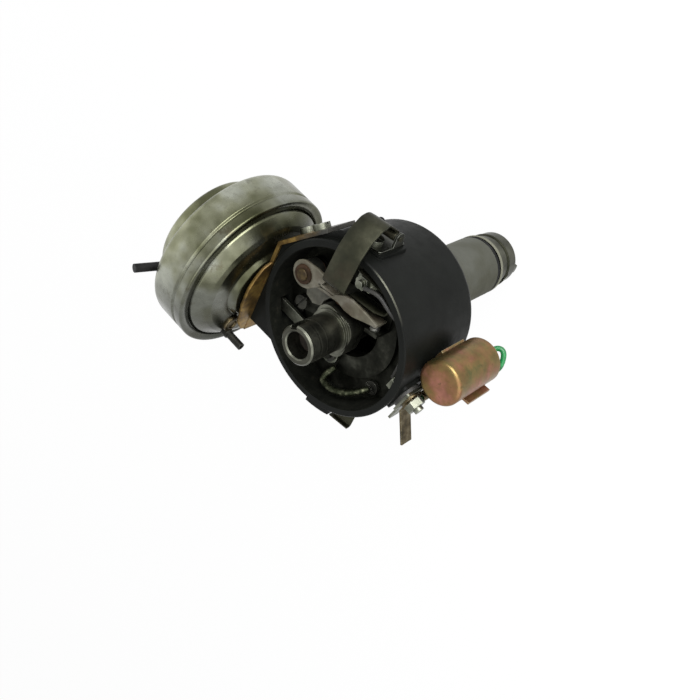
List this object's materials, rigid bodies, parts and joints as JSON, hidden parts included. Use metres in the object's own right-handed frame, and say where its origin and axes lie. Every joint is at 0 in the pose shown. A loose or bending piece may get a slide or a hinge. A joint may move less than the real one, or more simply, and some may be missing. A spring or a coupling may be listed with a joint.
{
  "type": "ignition distributor",
  "caption": "Ignition distributor with open bowl, contact breaker, cam spindle, side vacuum canister, condenser, spring clips and a plain shank with an offset dog drive",
  "frame": {"origin": "on the drive shaft's axis at the root of the mounting shank, where the shank meets the collar under the bowl", "axes": "+Z along the shaft towards the bowl's open mouth, vacuum unit towards -X, condenser and terminal towards +X"},
  "size_m": [0.1394, 0.1159, 0.1567],
  "materials": {
    "black_paint": "satin black paint over a light alloy casting; the shank is left as bare machined metal",
    "seal_rubber": "black rubber",
    "sintered_bronze": "oil-filled sintered bronze",
    "dirty_steel": "pressed steel with a dark film of oil",
    "plated_steel": "dull zinc plate",
    "spring_steel": "dark olive spring steel",
    "insulator_plastic": "off-white moulded insulator",
    "tinned_brass": "brass with worn tin plate",
    "gold_zinc": "gold chromate over zinc, iridescent pink in places",
    "green_lead": "green insulated lead",
    "grey_zinc": "stained zinc plate with an olive cast",
    "dark_lead": "dark insulated lead",
    "copper_braid": "tarnished woven copper",
    "machined_steel": "turned steel",
    "oil_felt": "oiled felt",
    "contact_metal": "ground tungsten",
    "arm_steel": "light grey plated sheet",
    "brown_fibre": "brown laminated fibre"
  },
  "bodies": {
    "housing": {"housing": "black_paint", "shank_seal_ring": "seal_rubber", "upper_shaft_bush": "sintered_bronze", "lower_shaft_bush": "sintered_bronze", "base_plate": "dirty_steel", "base_plate_screws": "plated_steel", "clip_brackets": "spring_steel", "clip_pins": "spring_steel", "clip_screws": "plated_steel", "terminal_insulator": "insulator_plastic", "terminal_bolt": "plated_steel", "terminal_nut": "plated_steel", "terminal_plate": "plated_steel", "lead_lug": "tinned_brass", "spade_blade": "tinned_brass", "condenser_can": "gold_zinc", "condenser_end_cap": "insulator_plastic", "condenser_saddle": "gold_zinc", "condenser_screw": "plated_steel", "condenser_lead": "green_lead", "vacuum_bracket": "gold_zinc", "bracket_screws": "plated_steel", "vacuum_front_cup": "grey_zinc", "vacuum_rear_cup": "grey_zinc", "diaphragm": "seal_rubber", "return_spring": "spring_steel", "rear_nozzle": "seal_rubber", "front_nozzle": "tinned_brass", "primary_lead": "dark_lead", "earth_braid": "copper_braid"},
    "shaft": {"drive_shaft": "machined_steel", "thrust_washers": "machined_steel", "drive_dog": "machined_steel", "dog_pin": "machined_steel", "dog_spring_ring": "spring_steel", "weight_plate": "dirty_steel", "advance_springs": "spring_steel"},
    "cam": {"cam": "machined_steel", "cam_yoke": "dirty_steel", "spindle_wick": "oil_felt"},
    "weight_a": {"weight_a": "dirty_steel"},
    "weight_b": {"weight_b": "dirty_steel"},
    "breaker_plate": {"breaker_plate": "dirty_steel", "plate_snap_ring": "spring_steel", "contact_bracket": "dirty_steel", "fixed_contact": "contact_metal", "contact_lock_screw": "plated_steel", "pivot_post": "tinned_brass", "spring_anchor": "insulator_plastic", "anchor_screw": "plated_steel", "arm_spring": "spring_steel", "rod_clip": "spring_steel"},
    "breaker_arm": {"breaker_arm": "arm_steel", "arm_bush": "brown_fibre", "rubbing_block": "brown_fibre", "moving_contact": "contact_metal"},
    "vacuum_rod": {"pull_rod": "plated_steel", "diaphragm_plates": "plated_steel"},
    "upper_clip": {"upper_clip": "spring_steel"},
    "lower_clip": {"lower_clip": "spring_steel"}
  },
  "joints": [
    {"name": "shaft_spin", "type": "hinge", "parent": "housing", "child": "shaft", "pos_m": [0, 0, 0], "axis": [0, 0, 1], "continuous": true},
    {"name": "cam_advance", "type": "hinge", "parent": "shaft", "child": "cam", "pos_m": [0, 0, 0.0206], "axis": [0, 0, 1], "range_deg": [0, 12], "stiffness_Nm_per_rad": 0.3, "springref_deg": -1.72, "deforming": ["advance_springs"]},
    {"name": "weight_a_swing", "type": "hinge", "parent": "shaft", "child": "weight_a", "pos_m": [0.02, 0, 0.0154], "axis": [0, 0, 1], "range_deg": [0, 12]},
    {"name": "weight_b_swing", "type": "hinge", "parent": "shaft", "child": "weight_b", "pos_m": [-0.02, 0, 0.0154], "axis": [0, 0, 1], "range_deg": [0, 12]},
    {"name": "plate_turn", "type": "hinge", "parent": "housing", "child": "breaker_plate", "pos_m": [0, 0, 0.0398], "axis": [0, 0, 1], "range_deg": [-4, 6], "stiffness_Nm_per_rad": 0.15, "deforming": ["primary_lead", "earth_braid"]},
    {"name": "rod_slide", "type": "slide", "parent": "housing", "child": "vacuum_rod", "axis": [1, 0, 0], "range_m": [-0.0013, 0.0019], "deforming": ["return_spring", "diaphragm"]},
    {"name": "arm_lift", "type": "hinge", "parent": "breaker_plate", "child": "breaker_arm", "pos_m": [-0.02199, 0.01011, 0.0475], "axis": [0, 0, 1], "range_deg": [0, 8], "stiffness_Nm_per_rad": 0.25, "springref_deg": -28.65, "deforming": ["arm_spring"]},
    {"name": "upper_clip_swing", "type": "hinge", "parent": "housing", "child": "upper_clip", "pos_m": [-0.00698, 0.03959, 0.034], "axis": [-0.9848, -0.1736, 0], "range_deg": [-18, 120]},
    {"name": "lower_clip_swing", "type": "hinge", "parent": "housing", "child": "lower_clip", "pos_m": [0.00698, -0.03959, 0.034], "axis": [0.9848, 0.1736, 0], "range_deg": [-150, 2]}
  ],
  "couplings": [
    {"joint": "weight_a_swing", "follows": "cam_advance", "ratio": 1},
    {"joint": "weight_b_swing", "follows": "cam_advance", "ratio": 1},
    {"joint": "rod_slide", "follows": "plate_turn", "m_per_rad": 0.0169}
  ]
}
